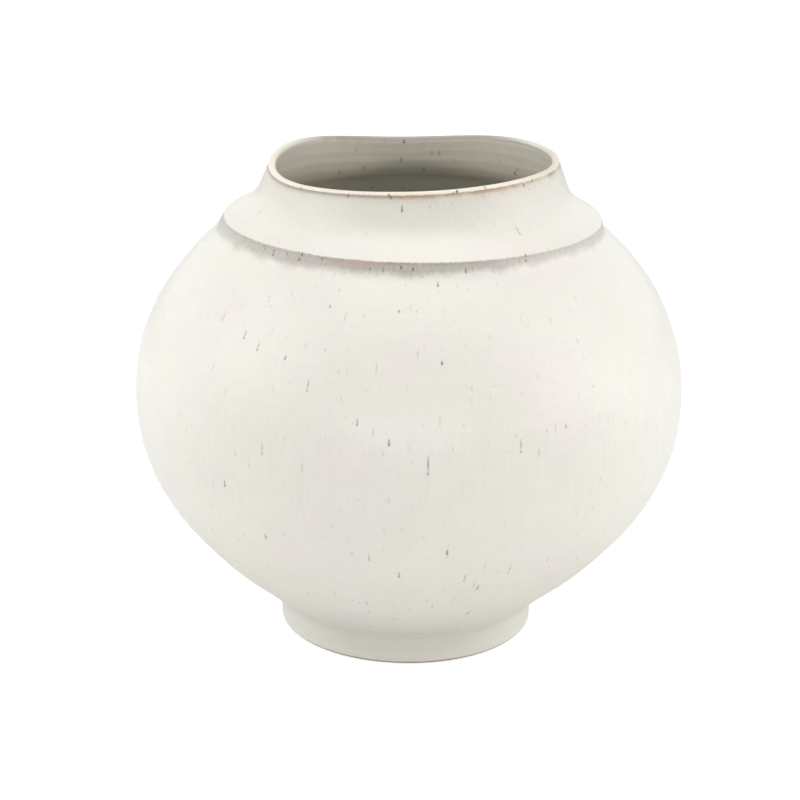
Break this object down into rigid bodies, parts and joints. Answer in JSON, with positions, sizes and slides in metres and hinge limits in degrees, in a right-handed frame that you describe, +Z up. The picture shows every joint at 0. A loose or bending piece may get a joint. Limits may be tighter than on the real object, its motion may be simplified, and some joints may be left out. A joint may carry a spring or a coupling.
{
  "type": "moon jar",
  "caption": "Thrown stoneware moon jar with a wide belly, a low turned foot, a crisp shoulder band and a wide wavy mouth, in speckled cream glaze.",
  "frame": {"origin": "on the table under the middle of the foot ring, which is the bottom centre of the jar's box", "axes": "+Z up along the axis the jar was thrown on; the picture looks along +Y with +X to the right; the collar leans 0.9 mm to +X and the lip stands highest there"},
  "size_m": [0.26, 0.26, 0.2297],
  "materials": {
    "foot_clay": "bare fired stoneware, fine and dry",
    "body_clay": "fired stoneware under the glaze",
    "slip": "fired clay slip in the joints",
    "outer_glaze": "satin cream glaze with iron specks",
    "inner_glaze": "satin cream glaze with iron specks"
  },
  "bodies": {
    "root": {"foot_ring": "foot_clay", "foot_slip": "slip", "lower_bowl": "body_clay", "belly_slip": "slip", "upper_bowl": "body_clay", "collar_slip": "slip", "neck_collar": "body_clay", "body_glaze": "outer_glaze", "lining_glaze": "inner_glaze", "collar_glaze": "outer_glaze"}
  },
  "joints": []
}
